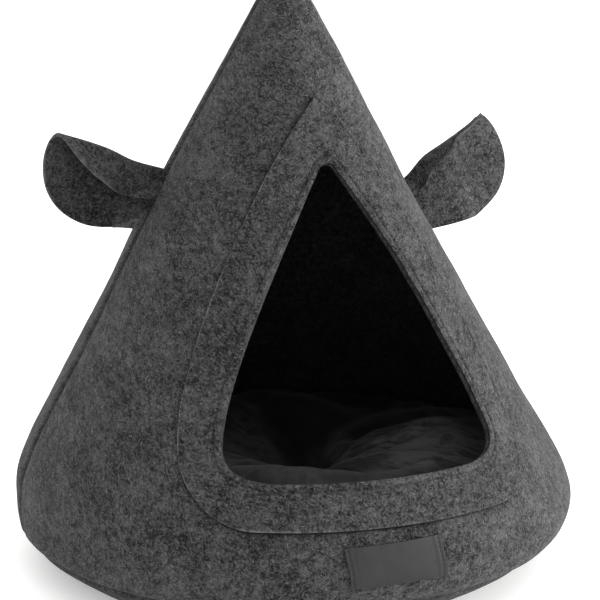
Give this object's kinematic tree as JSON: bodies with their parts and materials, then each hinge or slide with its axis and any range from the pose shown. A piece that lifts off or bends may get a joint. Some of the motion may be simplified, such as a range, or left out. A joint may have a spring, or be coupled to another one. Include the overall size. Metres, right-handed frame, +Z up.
{
  "type": "felt cat cave",
  "caption": "Cone-shaped felt pet cave with a pointed triangular doorway, folded ears in the side seams, a filled cushion inside and a small bare label.",
  "frame": {"origin": "middle of the flat underside of the floor", "axes": "+Z up, the doorway faces -Y, the side seams and ears lie towards -X and +X"},
  "size_m": [0.4485, 0.4496, 0.4715],
  "materials": {
    "wall_felt": "thick dark grey marl needle felt, matt",
    "floor_felt": "dark grey marl needle felt, matt",
    "facing_felt": "dark grey marl needle felt, matt, topstitched along its inner edge",
    "ear_felt": "thick dark grey marl needle felt, matt, raw cut edge",
    "cushion_plush": "near-black short-pile plush with a soft sheen",
    "label_cloth": "smooth grey woven label, bare"
  },
  "bodies": {
    "root": {"front_panel": "wall_felt", "back_panel": "wall_felt", "base_panel": "floor_felt", "door_facing": "facing_felt", "ear_left": "ear_felt", "ear_right": "ear_felt", "cushion": "cushion_plush", "label": "label_cloth"}
  },
  "joints": []
}
